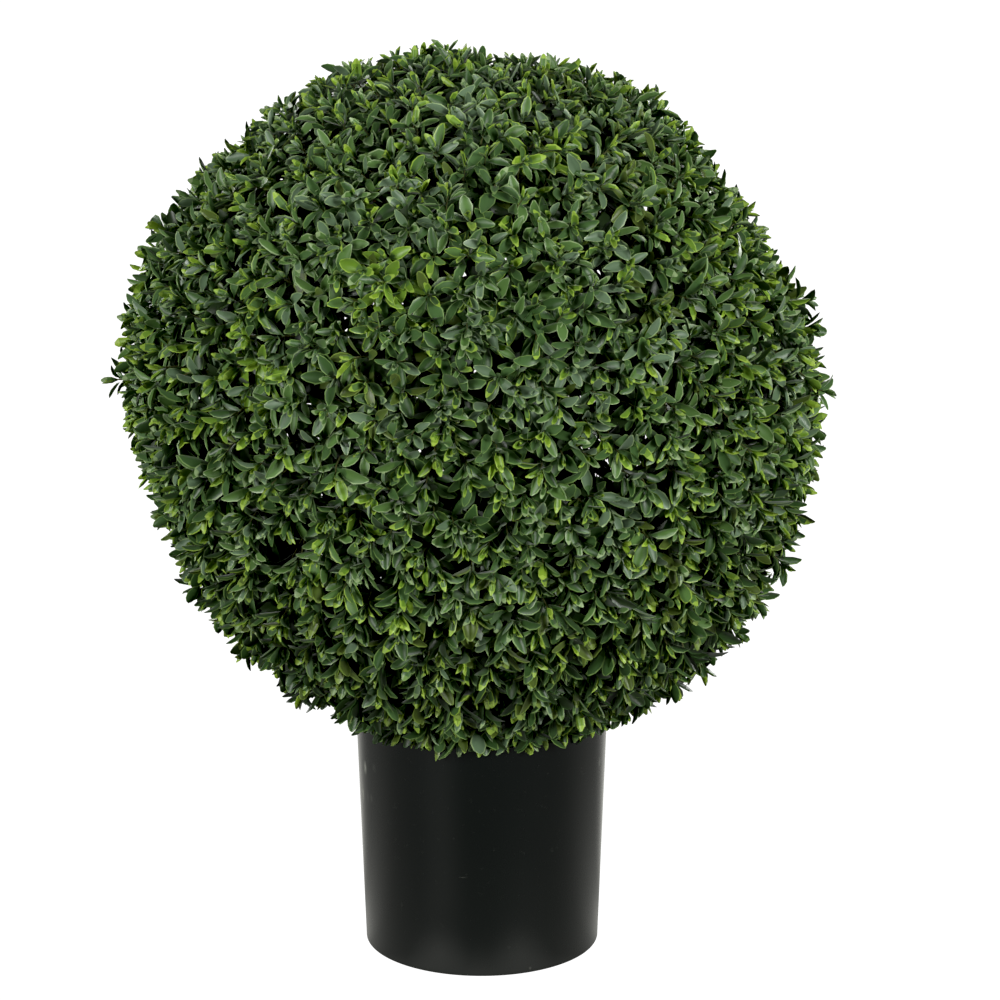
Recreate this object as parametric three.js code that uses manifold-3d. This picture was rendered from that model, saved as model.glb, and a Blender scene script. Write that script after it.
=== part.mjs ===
// A clipped box topiary ball standing in its own round pot, full size, in millimetres.
// +Z is up, +X is to the right seen from the front, and the front faces -Y.
// The origin is the centre of the pot's flat underside.
//
// The plant is an artificial one. Its pieces, from the ground up:
//   pot           a plain, slightly tapered cup with a thick flat floor
//   pot_filling   a cast plug that weighs the pot down and grips the stem
//   stem          a short turned post from the filling up into the ball
//   foliage_ball  the clipped foliage, one closed mass of tufts that rests on the pot's rim
import * as THREE from 'three';
import { mergeVertices } from 'three/addons/utils/BufferGeometryUtils.js';
import { ConvexHull } from 'three/addons/math/ConvexHull.js';
import Module from 'manifold-3d';

const wasm = await Module();
wasm.setup();

// ---------------------------------------------------------------- driving dimensions

const FIT_GAP = 0.3; // clearance between pieces that touch

const POT_HEIGHT = 202;
const POT_FOOT_RADIUS = 100.4;
const POT_RIM_RADIUS = 106;
const POT_WALL = 3;
const POT_FLOOR = 4;
const POT_FOOT_BEVEL = 1.6;
const POT_SIDES = 72;

const FILLING_HEIGHT = 132; // its top face above the ground
const FILLING_CROWN = 3; // how much the cast top rises round the stem
const FILLING_SEAT = 14; // thickness left under the stem
const FILLING_SIDES = 60;

const STEM_FOOT_RADIUS = 13;
const STEM_TOP_RADIUS = 11;
const STEM_TOP = 336;
const STEM_BEVEL = 2;
const STEM_SIDES = 28;

const BALL_CENTRE = new THREE.Vector3(-8, 0, 472);
const BALL_REACH = 293; // usual distance from the ball's centre to the leaf tips
const TUFT_COUNT = 1120;
const TUFT_DEPTH = 19; // from a tuft's tip down to the hollow between tufts
const TUFT_UNEVEN = 7; // how far one tuft's tip differs from the next
const HOLLOW_UNEVEN = 4;
const TUFT_DRIFT = 0.3; // how far a tuft strays from an even layout, in tuft widths
const TUFT_LEAN = 0.16; // how far its tip leans, in tuft widths
const TUFT_SEED = 20117;

// Where the shears went deep or left the foliage long. `turn` goes round the ball's outline from
// the right (0) over the top (90), `front` tips it toward the front, both in degrees. `swell` is in
// millimetres, and `spread` is the mark's half width in degrees.
const SHEAR_MARKS = [
  { turn: 8, front: 8, swell: 6, spread: 12 },
  { turn: 34, front: 6, swell: -16, spread: 12 },
  { turn: 58, front: 4, swell: 6, spread: 11 },
  { turn: 88, front: 2, swell: -4, spread: 11 },
  { turn: 112, front: 2, swell: 4, spread: 13 },
  { turn: 133, front: 5, swell: -4, spread: 10 },
  { turn: 163, front: 7, swell: 9, spread: 15 },
  { turn: 201, front: 10, swell: -11, spread: 14 },
  { turn: 315, front: 14, swell: 9, spread: 20 },
];

// The few tufts that stand out furthest, each with the distance its tip reaches from the centre.
const PROUD_TUFTS = [
  { turn: 2, front: 8, reach: 303 },
  { turn: 96, front: 1, reach: 297 },
  { turn: 151, front: 6, reach: 305 },
  { turn: 178, front: 8, reach: 307 },
  { turn: 313, front: 14, reach: 308 },
  { turn: 334, front: 12, reach: 305 },
];

// ---------------------------------------------------------------- materials

function satin(name, colour, roughness, metalness = 0) {
  const material = new THREE.MeshStandardMaterial({ color: colour, roughness, metalness });
  material.name = name;
  return material;
}

const BLACK_PLASTIC = satin('black_plastic', 0x1c1d1e, 0.42);
const CAST_FILLING = satin('cast_filling', 0x7b776e, 0.95);
const BROWN_POST = satin('brown_post', 0x4a3a2b, 0.8);
const BOX_LEAVES = satin('box_leaves', 0x2f4a26, 0.6);

// ---------------------------------------------------------------- small helpers

// The same numbers in the same order on every run, from 0 up to 1.
function seededNumbers(seed) {
  let state = seed >>> 0;
  return () => {
    state = (state + 0x6d2b79f5) >>> 0;
    let mixed = Math.imul(state ^ (state >>> 15), state | 1);
    mixed ^= mixed + Math.imul(mixed ^ (mixed >>> 7), mixed | 61);
    return ((mixed ^ (mixed >>> 14)) >>> 0) / 4294967296;
  };
}

function named(name, geometry, material) {
  const mesh = new THREE.Mesh(geometry, material);
  mesh.name = name;
  return mesh;
}

// Turns a profile of [radius, height] points round the Z axis. It starts low on the axis and runs
// outward and up, and ends on the axis or back at its start.
function turned(profile, sides) {
  const points = profile.map(([radius, height]) => new THREE.Vector2(radius, height));
  const geometry = new THREE.LatheGeometry(points, sides);
  geometry.rotateX(Math.PI / 2);
  return geometry;
}

function toSolid(geometry) {
  const bare = geometry.clone();
  bare.deleteAttribute('normal');
  bare.deleteAttribute('uv');
  const merged = mergeVertices(bare, 1e-3);
  const vertProperties = new Float32Array(merged.attributes.position.array);
  const triVerts = new Uint32Array(merged.index.array);
  return new wasm.Manifold(new wasm.Mesh({ numProp: 3, vertProperties, triVerts }));
}

function fromSolid(solid) {
  const mesh = solid.getMesh();
  const geometry = new THREE.BufferGeometry();
  geometry.setAttribute('position', new THREE.BufferAttribute(mesh.vertProperties, mesh.numProp));
  geometry.setIndex(new THREE.BufferAttribute(mesh.triVerts, 1));
  geometry.computeVertexNormals();
  return geometry;
}

// ---------------------------------------------------------------- pot, filling and stem

// The pot's outer radius at a height: a straight taper from foot to rim.
function potRadius(height) {
  return POT_FOOT_RADIUS + (POT_RIM_RADIUS - POT_FOOT_RADIUS) * (height / POT_HEIGHT);
}

function potInside(height) {
  return potRadius(height) - POT_WALL;
}

function makePot() {
  const rimRound = POT_WALL / 2;
  const rimStart = POT_HEIGHT - rimRound;
  const rimSteps = 6;
  const profile = [
    [0, 0],
    [POT_FOOT_RADIUS - POT_FOOT_BEVEL, 0],
    [potRadius(POT_FOOT_BEVEL), POT_FOOT_BEVEL],
  ];
  for (let step = 0; step <= rimSteps; step += 1) {
    const angle = (Math.PI * step) / rimSteps;
    const middle = potRadius(rimStart) - rimRound;
    profile.push([middle + rimRound * Math.cos(angle), rimStart + rimRound * Math.sin(angle)]);
  }
  profile.push([potInside(POT_FLOOR), POT_FLOOR]);
  profile.push([0, POT_FLOOR]);
  return named('pot', turned(profile, POT_SIDES), BLACK_PLASTIC);
}

function makeFilling() {
  const bottom = POT_FLOOR + FIT_GAP;
  const seat = bottom + FILLING_SEAT;
  const socket = STEM_FOOT_RADIUS + FIT_GAP;
  // A many-sided plug inside a many-sided wall: the wall's flats come closer than its corners do.
  const flatLoss = POT_RIM_RADIUS * (1 - Math.cos(Math.PI / POT_SIDES));
  const side = (height) => potInside(height) - FIT_GAP - flatLoss;
  const profile = [
    [0, bottom],
    [side(bottom), bottom],
    [side(FILLING_HEIGHT), FILLING_HEIGHT],
    [socket * 2, FILLING_HEIGHT + FILLING_CROWN],
    [socket, FILLING_HEIGHT + FILLING_CROWN],
    [socket, seat],
    [0, seat],
  ];
  return named('pot_filling', turned(profile, FILLING_SIDES), CAST_FILLING);
}

function stemProfile(grow) {
  const bottom = POT_FLOOR + FIT_GAP + FILLING_SEAT + FIT_GAP;
  return [
    [0, bottom - grow],
    [STEM_FOOT_RADIUS - FIT_GAP + grow, bottom - grow],
    [STEM_FOOT_RADIUS - FIT_GAP + grow, FILLING_HEIGHT + FILLING_CROWN],
    [STEM_TOP_RADIUS + grow, STEM_TOP - STEM_BEVEL],
    [STEM_TOP_RADIUS - STEM_BEVEL + grow, STEM_TOP + grow],
    [0, STEM_TOP + grow],
  ];
}

function makeStem() {
  return named('stem', turned(stemProfile(0), STEM_SIDES), BROWN_POST);
}

// ---------------------------------------------------------------- foliage

// The direction, from the ball's centre, of a place given as on SHEAR_MARKS.
function placeOnBall(turn, front) {
  const round = THREE.MathUtils.degToRad(turn);
  const forward = THREE.MathUtils.degToRad(front);
  const across = Math.cos(forward);
  return new THREE.Vector3(across * Math.cos(round), -Math.sin(forward), across * Math.sin(round));
}

// How far the clipped foliage reaches in a direction.
function clippedReach(direction) {
  let reach = BALL_REACH;
  for (const mark of SHEAR_MARKS) {
    const away = THREE.MathUtils.radToDeg(direction.angleTo(placeOnBall(mark.turn, mark.front)));
    reach += mark.swell * Math.exp(-0.5 * (away / mark.spread) ** 2);
  }
  return reach;
}

// Tufts laid out evenly along a spiral over the ball, each strayed a little from its place.
function tuftDirections(random, tuftWidth) {
  const goldenTurn = Math.PI * (3 - Math.sqrt(5));
  const directions = [];
  for (let index = 0; index < TUFT_COUNT; index += 1) {
    const height = 1 - (2 * index + 1) / TUFT_COUNT;
    const ring = Math.sqrt(1 - height * height);
    const round = index * goldenTurn;
    const direction = new THREE.Vector3(ring * Math.cos(round), ring * Math.sin(round), height);
    directions.push(strayed(direction, TUFT_DRIFT * tuftWidth, random));
  }
  return directions;
}

function strayed(direction, most, random) {
  const shift = new THREE.Vector3(random() - 0.5, random() - 0.5, random() - 0.5);
  return direction.clone().addScaledVector(shift, 2 * most).normalize();
}

function nearestIndex(directions, wanted) {
  let best = 0;
  for (let index = 1; index < directions.length; index += 1) {
    if (directions[index].dot(wanted) > directions[best].dot(wanted)) {
      best = index;
    }
  }
  return best;
}

// Every tuft is a low many-sided point. Its tip stands on a corner of the hull of all the tuft
// directions, and the hollows round it are the middles of the hull's triangles.
function tuftedSurface() {
  const random = seededNumbers(TUFT_SEED);
  const tuftWidth = Math.sqrt((4 * Math.PI) / TUFT_COUNT);
  const directions = tuftDirections(random, tuftWidth);
  const corners = new Map();
  const positions = [];
  const triangles = [];

  const addCorner = (key, direction, reach) => {
    corners.set(key, positions.length / 3);
    positions.push(...direction.clone().multiplyScalar(reach).add(BALL_CENTRE).toArray());
  };

  const reaches = directions.map(
    (direction) => clippedReach(direction) + TUFT_UNEVEN * (2 * random() - 1)
  );
  for (const tuft of PROUD_TUFTS) {
    reaches[nearestIndex(directions, placeOnBall(tuft.turn, tuft.front))] = tuft.reach;
  }
  directions.forEach((direction, index) => {
    addCorner(direction, strayed(direction, TUFT_LEAN * tuftWidth, random), reaches[index]);
  });

  const hull = new ConvexHull().setFromPoints(directions);
  for (const face of hull.faces) {
    const middle = new THREE.Vector3();
    let edge = face.edge;
    do {
      middle.add(edge.head().point);
      edge = edge.next;
    } while (edge !== face.edge);
    middle.normalize();
    const depth = TUFT_DEPTH + HOLLOW_UNEVEN * (2 * random() - 1);
    addCorner(face, middle, clippedReach(middle) - depth);
  }

  for (const face of hull.faces) {
    let edge = face.edge;
    do {
      const tip = corners.get(edge.tail().point);
      triangles.push(tip, corners.get(edge.twin.face), corners.get(face));
      edge = edge.next;
    } while (edge !== face.edge);
  }

  const geometry = new THREE.BufferGeometry();
  geometry.setAttribute('position', new THREE.Float32BufferAttribute(positions, 3));
  geometry.setIndex(triangles);
  return geometry;
}

// The room that the pot's wall needs in the foliage pressed down over it.
function rimRoom() {
  const low = POT_HEIGHT / 2;
  const high = POT_HEIGHT + FIT_GAP;
  const profile = [
    [potInside(low) - FIT_GAP, low],
    [potRadius(low) + FIT_GAP, low],
    [potRadius(high) + FIT_GAP, high],
    [potInside(high) - FIT_GAP, high],
    [potInside(low) - FIT_GAP, low],
  ];
  return toSolid(turned(profile, POT_SIDES));
}

function makeFoliage() {
  const tufts = toSolid(tuftedSurface());
  const stemRoom = toSolid(turned(stemProfile(FIT_GAP), STEM_SIDES));
  const seated = tufts.subtract(rimRoom()).subtract(stemRoom);
  return named('foliage_ball', fromSolid(seated), BOX_LEAVES);
}

// ---------------------------------------------------------------- the whole object

const group = new THREE.Group();
group.add(makePot());
group.add(makeFilling());
group.add(makeStem());
group.add(makeFoliage());

export default group;
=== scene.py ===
# An artificial box topiary ball in a plain black pot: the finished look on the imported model's frame.
#
# Lengths are in metres. +Z is up, the front faces -Y and the origin is under the middle of the pot.
# The order of making is: pot, filling and stem; the hollow core inside the ball; the sprigs that
# are plugged into it, with their twigs and leaves; then the studio and the camera.
import math
from collections import namedtuple

import bmesh
import bpy
import numpy as np
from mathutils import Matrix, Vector, noise


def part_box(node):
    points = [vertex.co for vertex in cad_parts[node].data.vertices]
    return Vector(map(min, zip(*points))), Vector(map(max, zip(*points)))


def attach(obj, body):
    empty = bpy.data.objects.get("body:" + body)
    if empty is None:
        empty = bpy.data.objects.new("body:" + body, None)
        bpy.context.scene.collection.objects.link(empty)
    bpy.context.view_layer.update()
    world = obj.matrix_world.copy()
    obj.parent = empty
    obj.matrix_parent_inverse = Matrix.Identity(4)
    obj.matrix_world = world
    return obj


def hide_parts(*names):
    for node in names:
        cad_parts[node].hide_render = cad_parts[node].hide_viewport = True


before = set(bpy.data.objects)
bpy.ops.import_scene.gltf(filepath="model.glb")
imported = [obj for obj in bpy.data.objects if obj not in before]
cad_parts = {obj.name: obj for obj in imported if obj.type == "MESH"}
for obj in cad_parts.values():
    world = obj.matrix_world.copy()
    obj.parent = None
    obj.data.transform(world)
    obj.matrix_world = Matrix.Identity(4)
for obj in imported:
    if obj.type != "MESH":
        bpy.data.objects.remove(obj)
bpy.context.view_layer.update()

# ---- sizes

MM = 0.001
pot_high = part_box("pot")[1]
filling_low, filling_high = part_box("pot_filling")
stem_low, stem_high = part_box("stem")

POT_HEIGHT = pot_high.z
# The pot's sides spread a little more than the CAD pot's.
POT_RIM_RADIUS = pot_high.x + 1.4 * MM
POT_FOOT_RADIUS = 100.4 * MM
POT_WALL = 3 * MM
POT_FLOOR = 4 * MM
POT_FOOT_ROUND = 1.6 * MM
POT_INNER_ROUND = 6 * MM
POT_RECESS_RADIUS = 62 * MM
POT_RECESS_DEPTH = 0.4 * MM

FILLING_GAP = 0.7 * MM
FILLING_CHAMFER = 6 * MM
SOCKET_FLOOR = 20 * MM

STEM_FOOT_RADIUS = stem_high.x
STEM_TOP_RADIUS = 11 * MM
STEM_BEVEL = 2 * MM

# Turned profiles close on the axis at this radius, and points nearer than the reach are joined.
AXIS = 1e-6
WELD_REACH = 0.01 * MM

BALL_CENTRE = np.array([-8.0, 0.0, 472.0]) * MM
BALL_REACH = 293 * MM

# The core's radius and wall, the hole in each of its cells as a share of the cell, how far the
# collar round the stem reaches and how far it laps over the core, and its sleeve.
CORE_RADIUS = 204 * MM
CORE_WALL = 3 * MM
CORE_HOLE = 0.72
COLLAR_REACH = 40 * MM
COLLAR_LAP = 14 * MM
SLEEVE_LENGTH = 16 * MM

SPRIG_COUNT = 560
STALK_LENGTH = 15 * MM
TWIG_COUNT = 2220
TWIG_STEPS = 7
SHOOT_STEPS = 4
# The share of the twigs that carry an innermost pair of leaves.
INMOST_SHARE = 0.48

# A grown leaf's length, its width as a share of that, and how far down its tip is drawn. The lower
# it hangs, the more it droops and the longer it is.
LEAF_LENGTH = 21.4 * MM
LEAF_WIDTH = 0.375
DROOP = 0.28
LOW_LEAF_GROWTH = 0.55

# Where the shears went deep or left the foliage long, as on the CAD ball: turn round the outline
# and tip to the front in degrees, swell in millimetres and half width in degrees.
SHEAR_MARKS = [
    (8, 8, 4, 12), (34, 6, -14, 12), (58, 4, 6, 11), (88, 2, -2, 11), (114, 2, 8, 13),
    (133, 5, -3, 9), (158, 7, 9, 16), (201, 10, -12, 16), (236, 12, -4, 14), (315, 14, 6, 20),
]

# The twigs that stand out furthest: turn, tip to the front, and how far their leaves reach.
PROUD_TWIGS = [
    (2, 8, 305), (96, 1, 299), (151, 6, 305), (177, 8, 307), (313, 14, 308), (334, 12, 305),
    (18, 4, 300), (15, 6, 299), (125, 3, 297), (294, 12, 299), (299, 10, 301), (304, 9, 300),
    (308, 13, 305), (322, 12, 306), (327, 12, 304), (214, 11, 290), (226, 12, 294), (240, 13, 296),
]

# Twigs that hang over the pot's rim: how many, and in millimetres how far out from its axis, how
# high, and how far their leaves reach past the clipped surface.
RIM_TWIG_COUNT = 54
RIM_TWIG_OUT = (109, 119)
RIM_TWIG_HEIGHT = (206, 214)
RIM_TWIG_SPARE = (2, 9)
# Where round the rim the twigs hang lower, with the half width there, in degrees, and by how much.
RIM_HANGS = [(-101, 13), (-59, 8), (-144, 5), (-25, 5), (40, 15), (150, 12)]
RIM_HANG_DROP = 13 * MM
# The most that a leaf is moved out or up to keep clear of the rim.
MOST_RIM_SHIFT = 8 * MM
MOST_RIM_LIFT = 15 * MM

chance = np.random.default_rng(20117)

# ---- finishes


class Wire:
    """One output of a node. Sums on it add the Math nodes that work them out."""

    def __init__(self, finish, socket):
        self.finish = finish
        self.socket = socket

    def sum(self, operation, first, second):
        return self.finish.add("ShaderNodeMath", {"operation": operation}, {0: first, 1: second})

    def __add__(self, other):
        return self.sum("ADD", self, other)

    def __radd__(self, other):
        return self.sum("ADD", other, self)

    def __sub__(self, other):
        return self.sum("SUBTRACT", self, other)

    def __rsub__(self, other):
        return self.sum("SUBTRACT", other, self)

    def __mul__(self, other):
        return self.sum("MULTIPLY", self, other)

    def __rmul__(self, other):
        return self.sum("MULTIPLY", other, self)

    def __truediv__(self, other):
        return self.sum("DIVIDE", self, other)


class Finish:
    """The nodes of one material, of the studio's surroundings or of the picture."""

    def __init__(self, tree):
        self.tree = tree
        self.tree.nodes.clear()

    def add(self, kind, settings=None, values=None, output=0):
        """Adds a node: its settings first, then a value or a Wire for each named socket."""
        node = self.tree.nodes.new(kind)
        for name, setting in (settings or {}).items():
            if name == "stops":
                self.set_stops(node.color_ramp, setting)
            else:
                setattr(node, name, setting)
        for name, value in (values or {}).items():
            if isinstance(value, Wire):
                self.tree.links.new(value.socket, node.inputs[name])
            else:
                node.inputs[name].default_value = value
        return Wire(self, node.outputs[output]) if node.outputs else None

    @staticmethod
    def set_stops(ramp, stops):
        while len(ramp.elements) < len(stops):
            ramp.elements.new(0.5)
        for element, (place, level) in zip(ramp.elements, stops):
            element.position = place
            element.color = (level, level, level, 1.0)

    def ramp(self, value, *stops):
        return self.add("ShaderNodeValToRGB", {"stops": stops}, {"Fac": value})

    def place(self, stretch=(1, 1, 1)):
        """The point on the object, stretched along its axes."""
        point = self.add("ShaderNodeTexCoord", output="Object")
        return self.add("ShaderNodeVectorMath", {"operation": "MULTIPLY"}, {0: point, 1: stretch})

    def cloud(self, scale, stretch=(1, 1, 1), detail=4.0, roughness=0.5):
        values = {"Vector": self.place(stretch), "Scale": scale}
        values |= {"Detail": detail, "Roughness": roughness}
        return self.add("ShaderNodeTexNoise", {}, values)

    def tint(self, amount, first, second):
        """Colour that runs from the first to the second as the amount goes from 0 to 1."""
        values = {"Factor": amount, 6: first, 7: second}
        return self.add("ShaderNodeMix", {"data_type": "RGBA"}, values, output=2)

    def near(self, point, reach, stretch=(1, 1, 1)):
        """1 at a point of the object, fading to 0 at that reach from it."""
        values = {0: self.place(stretch), 1: tuple(p * s for p, s in zip(point, stretch))}
        away = self.add("ShaderNodeVectorMath", {"operation": "DISTANCE"}, values, output="Value")
        return self.ramp(away / reach, (0.0, 1.0), (1.0, 0.0))

    def bumps(self, height, distance, strength=1.0):
        values = {"Height": height, "Distance": distance, "Strength": strength}
        return self.add("ShaderNodeBump", {}, values)

    def surface(self, **values):
        named = {name.replace("_", " "): value for name, value in values.items()}
        shader = self.add("ShaderNodeBsdfPrincipled", {}, named)
        self.add("ShaderNodeOutputMaterial", {}, {"Surface": shader})


def new_finish(name):
    material = bpy.data.materials.new(name)
    material.use_nodes = True
    return material, Finish(material.node_tree)


def colour(*levels):
    """A colour given as it looks on a screen, from 0 to 255, as the light it stands for."""
    shares = [level / 255 for level in levels]
    light = [s / 12.92 if s <= 0.04045 else ((s + 0.055) / 1.055) ** 2.4 for s in shares]
    return (*light, 1.0)


# Rubbed marks on the pot's wall: the turn to the right from the front in degrees, the height, the
# half width and the half height in millimetres, and how pale the mark is.
POT_MARKS = [
    (-68, 163, 4, 7, 0.8), (-74, 137, 5, 11, 0.8), (-62, 139, 3, 5, 0.10), (-58, 168, 4, 5, 0.06),
    (-66, 138, 2, 6, 0.16), (70, 167, 3.4, 5, 0.3), (-8.4, 88, 4.2, 0.5, 0.12), (24, 4, 1.6, 1.6, 0.16),
]


def black_plastic():
    material, finish = new_finish("satin_black_plastic")
    drift = finish.cloud(9.0, detail=3.0)
    streaks = finish.cloud(22.0, stretch=(1, 1, 0.08), detail=5.0)
    grain = finish.cloud(1400.0, detail=2.0)
    dust = finish.ramp(finish.cloud(160.0, detail=6.0, roughness=0.7), (0.62, 0.0), (0.78, 1.0))
    marks = dust * 0.04
    for turn, height, half_width, half_height, pale in POT_MARKS:
        radius, angle = pot_radius(height * MM), math.radians(turn)
        point = (radius * math.sin(angle), -radius * math.cos(angle), height * MM)
        stretch = (1, 1, half_width / half_height)
        marks = marks + finish.near(point, half_width * MM, stretch) * pale
    black = finish.tint(drift, colour(3, 7, 6), colour(6, 11, 9))
    finish.surface(
        Base_Color=finish.tint(marks, black, colour(138, 140, 130)),
        Roughness=0.2 + drift * 0.05 + streaks * 0.08 + marks * 0.3 + dust * 0.08,
        Specular_IOR_Level=0.5,
        Normal=finish.bumps(grain * 0.1 + streaks, 0.00006, 0.3),
    )
    return material


def cast_filling():
    material, finish = new_finish("rough_cast_filling")
    patches = finish.cloud(26.0, detail=6.0)
    grit = finish.cloud(420.0, detail=5.0, roughness=0.7)
    grey = finish.tint(patches, colour(104, 99, 90), colour(146, 140, 128))
    finish.surface(
        Base_Color=finish.tint(finish.ramp(grit, (0.5, 0.0), (0.75, 1.0)), grey, colour(84, 78, 70)),
        Roughness=0.86 + grit * 0.1,
        Normal=finish.bumps(grit + patches, 0.0012, 0.7),
    )
    return material


def brown_post():
    material, finish = new_finish("brown_turned_post")
    fibres = finish.cloud(90.0, stretch=(1, 1, 0.07), detail=7.0, roughness=0.65)
    blotches = finish.cloud(24.0, detail=3.0)
    brown = finish.tint(fibres, colour(52, 38, 26), colour(112, 86, 60))
    finish.surface(
        Base_Color=finish.tint(blotches * 0.4, brown, colour(60, 52, 42)),
        Roughness=0.7 + fibres * 0.2,
        Normal=finish.bumps(fibres, 0.0009, 0.8),
    )
    return material


def core_plastic():
    material, finish = new_finish("dark_green_core_plastic")
    drift = finish.cloud(14.0, detail=4.0)
    grain = finish.cloud(700.0, detail=2.0)
    finish.surface(
        Base_Color=finish.tint(drift, colour(12, 18, 9), colour(20, 28, 14)),
        Roughness=0.6 + drift * 0.15,
        Normal=finish.bumps(grain, 0.0002, 0.4),
    )
    return material


def twig_bark(name, dark, pale):
    material, finish = new_finish(name)
    rings = finish.cloud(260.0, detail=4.0)
    finish.surface(Base_Color=finish.tint(rings, dark, pale), Roughness=0.62 + rings * 0.15)
    return material


def leaf_tone(name, tone):
    """One plain colour of a moulded leaf. The tones are dealt out by spray; the shade green is painted
    shade.
    """
    material, finish = new_finish(name)
    sheen = {"Sheen_Weight": 0.1, "Sheen_Roughness": 0.5}
    finish.surface(Base_Color=tone, Roughness=0.44, Specular_IOR_Level=0.42, **sheen)
    return material


LEAF_TONES = {
    "leaf_deep_green": colour(46, 74, 31),
    "leaf_dark_green": colour(60, 90, 44),
    "leaf_grey_green": colour(88, 111, 82),
    "leaf_mid_green": colour(78, 110, 52),
    "leaf_olive_green": colour(71, 89, 30),
    "leaf_fresh_green": colour(98, 132, 36),
    "leaf_lime_green": colour(120, 152, 38),
    # The shade green is painted shade: it darkens leaves deep in the ball and under it, and the blades'
    # feet.
    "leaf_painted_shade_green": colour(27, 45, 12),
    "edge_dull_green": colour(100, 128, 66),
    "edge_pale_green": colour(132, 155, 106),
    "edge_olive_green": colour(108, 130, 54),
    "edge_fresh_green": colour(122, 150, 50),
    "edge_lime": colour(138, 168, 62),
    "edge_yellow_lime": colour(150, 178, 68),
}

# Each look is a blade's tone, the tone of its moulded edge and tip, and the darker tone of its foot,
# painted shade where the blade meets its stalk.
LEAF_LOOKS = {
    "deep": ("leaf_deep_green", "edge_dull_green", "leaf_painted_shade_green"),
    "dark": ("leaf_dark_green", "edge_dull_green", "leaf_deep_green"),
    "grey": ("leaf_grey_green", "edge_pale_green", "leaf_dark_green"),
    "mid": ("leaf_mid_green", "edge_pale_green", "leaf_dark_green"),
    "olive": ("leaf_olive_green", "edge_olive_green", "leaf_deep_green"),
    "tipped": ("leaf_mid_green", "edge_lime", "leaf_dark_green"),
    "fresh": ("leaf_fresh_green", "edge_lime", "leaf_mid_green"),
    "lime": ("leaf_lime_green", "edge_yellow_lime", "leaf_fresh_green"),
    "rimmed": ("leaf_deep_green", "edge_fresh_green", "leaf_painted_shade_green"),
    # The shade look is painted shade, for leaves deep in the ball and low under it.
    "shade": ("leaf_painted_shade_green", "leaf_deep_green", "leaf_painted_shade_green"),
}
# The foot zone takes the darker tone: painted shade at the base of the blade.
BLADE, EDGE, SHADED_FOOT = 0, 1, 2

# How often each look is dealt out, on dull twigs, on fresh ones and on those under the ball. The tables
# for under the ball lean to darker tones, painted shade, mixed with olive ones and ones with bright
# edges.
DULL, FRESH, UNDERNEATH = 0, 1, 2
OLD_DULL = {"deep": 4.4, "dark": 4, "grey": 3, "mid": 2.4, "olive": 1.2}
OLD_FRESH = {"deep": 2, "dark": 3, "grey": 2, "mid": 4, "tipped": 2, "fresh": 0.8}
OLD_UNDER = {"deep": 3.2, "dark": 2.6, "grey": 1.2, "olive": 2.3, "rimmed": 1.4, "shade": 2.1}
YOUNG_DULL = {"dark": 2, "grey": 2.6, "mid": 4, "tipped": 2.6, "rimmed": 0.8, "fresh": 1.5}
YOUNG_FRESH = {"mid": 1, "tipped": 3, "fresh": 4, "lime": 3}
YOUNG_UNDER = {"rimmed": 2, "olive": 2.8, "dark": 2, "grey": 0.8, "tipped": 0.8,
               "fresh": 0.9, "lime": 0.6}
# The inner and inmost tables deal mostly the darkest tones: painted shade on leaves deep in the ball.
INNER = {"deep": 3, "dark": 1, "olive": 0.8, "shade": 5.2}
INMOST = {"deep": 1, "shade": 5}

# ---- mesh making


def make_mesh(name, points, faces, finishes, slots=None, smooth=True):
    """Makes a piece from points (N, 3) and faces (M, 3 or 4), each face with its place in finishes."""
    points = np.asarray(points, dtype=np.float32)
    faces = np.asarray(faces, dtype=np.int32)
    corners = faces.shape[1]
    mesh = bpy.data.meshes.new(name)
    mesh.vertices.add(len(points))
    mesh.vertices.foreach_set("co", points.ravel())
    mesh.loops.add(faces.size)
    mesh.loops.foreach_set("vertex_index", faces.ravel())
    mesh.polygons.add(len(faces))
    mesh.polygons.foreach_set("loop_start", np.arange(0, faces.size, corners, dtype=np.int32))
    mesh.polygons.foreach_set("use_smooth", np.full(len(faces), smooth))
    for material in finishes:
        mesh.materials.append(material)
    if slots is not None:
        mesh.polygons.foreach_set("material_index", np.asarray(slots, dtype=np.int32))
    mesh.update(calc_edges=True)
    mesh.validate()
    piece = bpy.data.objects.new(name, mesh)
    bpy.context.scene.collection.objects.link(piece)
    return piece


def settle(piece, node):
    """Puts a piece on the object: it rides on the only body and stands for a CAD node."""
    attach(piece, "root")
    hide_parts(node)


def ring_quads(starts, sides):
    """Quads between rings of points: each ring that begins at a start, and the ring after it."""
    here = np.arange(sides)
    after = (here + 1) % sides
    quads = [starts + here, starts + after, starts + sides + after, starts + sides + here]
    return np.stack(quads, axis=-1).reshape(-1, 4)


def turned(profile, sides):
    """Points and quads of a profile of (radius, height) turned round the Z axis."""
    profile = np.array(profile)
    angles = np.linspace(0, 2 * math.pi, sides, endpoint=False)
    radius, height = profile[:, :1], profile[:, 1:]
    rings = [radius * np.cos(angles), radius * np.sin(angles), height + 0 * angles]
    starts = np.arange(len(profile) - 1)[:, None] * sides
    return np.stack(rings, axis=-1).reshape(-1, 3), ring_quads(starts, sides)


def arc(centre, radius, start, end, steps):
    """Profile points on an arc, its angles in degrees."""
    angles = np.radians(np.linspace(start, end, steps))
    return [(centre[0] + radius * math.cos(a), centre[1] + radius * math.sin(a)) for a in angles]


def weld(piece, distance):
    """Joins the corners that meet, such as a turned profile's points on the axis."""
    work = bmesh.new()
    work.from_mesh(piece.data)
    bmesh.ops.remove_doubles(work, verts=work.verts, dist=distance)
    bmesh.ops.recalc_face_normals(work, faces=work.faces)
    work.to_mesh(piece.data)
    work.free()
    return piece


# ---- pot, filling and stem


def pot_radius(height):
    return POT_FOOT_RADIUS + (POT_RIM_RADIUS - POT_FOOT_RADIUS) * (height / POT_HEIGHT)


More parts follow.
